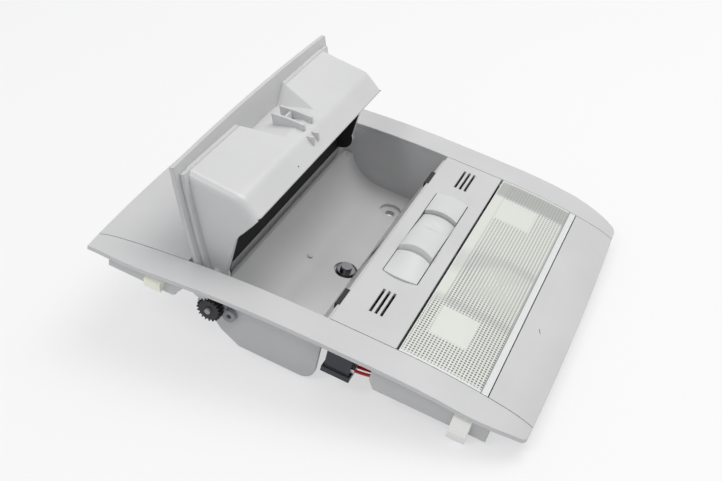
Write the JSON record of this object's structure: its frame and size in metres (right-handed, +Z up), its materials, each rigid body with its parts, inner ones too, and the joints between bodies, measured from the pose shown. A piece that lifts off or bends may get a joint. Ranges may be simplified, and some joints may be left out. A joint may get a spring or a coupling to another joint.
{
  "type": "car interior light",
  "caption": "Overhead console lamp with a clear prismatic lens, map light buttons, a dome light rocker and a damped fold-out glasses holder.",
  "frame": {"origin": "middle of the bounding box, at the table the light lies on", "axes": "+X from the glasses holder to the lamp along the table, +Z up, out of the face that the driver sees; the light lies on its back, tipped about 12 degrees to its lamp end"},
  "size_m": [0.2334, 0.2, 0.1057],
  "materials": {
    "shell_plastic": "satin, fine grain",
    "bin_plastic": "satin",
    "button_plastic": "satin",
    "lens_clear": "clear, prismatic inside",
    "liner_black": "matt",
    "black_plastic": "satin",
    "damper_grey": "satin",
    "steel": "bright",
    "dark_steel": "black coated",
    "black_rubber": "matt",
    "connector_black": "satin",
    "wire_red": "semi-gloss",
    "nylon": "satin",
    "housing_plastic": "matt",
    "reflector_white": "gloss",
    "bulb_glass": "clear"
  },
  "bodies": {
    "console": {"console_frame": "shell_plastic", "rear_panel": "shell_plastic", "switch_panel": "shell_plastic", "front_panel": "shell_plastic", "holder_box": "shell_plastic", "lamp_lens": "lens_clear", "damper_body": "damper_grey", "fixing_screw": "dark_steel", "screw_washer": "black_rubber", "lid_bumpers": "black_rubber", "connector": "connector_black", "connector_terminals": "steel", "lead_wires": "wire_red", "clip_near_rear": "nylon", "clip_near_front": "nylon", "clip_far_rear": "nylon", "clip_far_front": "nylon", "latch_body": "black_plastic", "lamp_housing": "housing_plastic", "reflector_tray": "reflector_white", "dome_bulb": "bulb_glass", "map_bulb_near": "bulb_glass", "map_bulb_far": "bulb_glass", "bulb_contacts": "steel", "switch_body": "black_plastic", "housing_screws": "steel"},
    "lid": {"lid_panel": "shell_plastic", "glasses_bin": "bin_plastic", "bin_liner": "liner_black", "lid_gear": "bin_plastic", "lid_spring": "steel"},
    "damper_wheel": {"damper_gear": "black_plastic"},
    "near_button": {"map_button_near": "button_plastic"},
    "far_button": {"map_button_far": "button_plastic"},
    "rocker": {"dome_rocker": "button_plastic"}
  },
  "joints": [
    {"name": "lid_hinge", "type": "hinge", "parent": "console", "child": "lid", "pos_m": [-0.04923, 0, 0.04447], "axis": [0, 1, 0], "range_deg": [0, 108.5], "stiffness_Nm_per_rad": 0.03},
    {"name": "damper_turn", "type": "hinge", "parent": "console", "child": "damper_wheel", "pos_m": [-0.04579, -0.09, 0.03363], "axis": [0, 1, 0], "range_deg": [-91.87, 0]},
    {"name": "near_button_press", "type": "slide", "parent": "console", "child": "near_button", "axis": [-0.2147, 0, -0.9767], "range_m": [0, 0.0015], "stiffness_N_per_m": 400},
    {"name": "far_button_press", "type": "slide", "parent": "console", "child": "far_button", "axis": [-0.2147, 0, -0.9767], "range_m": [0, 0.0015], "stiffness_N_per_m": 400},
    {"name": "rocker_tilt", "type": "hinge", "parent": "console", "child": "rocker", "pos_m": [0.03011, 0.0045, 0.03277], "axis": [0.9767, 0, -0.2147], "range_deg": [0, 14.4]}
  ],
  "couplings": [
    {"joint": "damper_turn", "follows": "lid_hinge", "ratio": -0.84211}
  ]
}
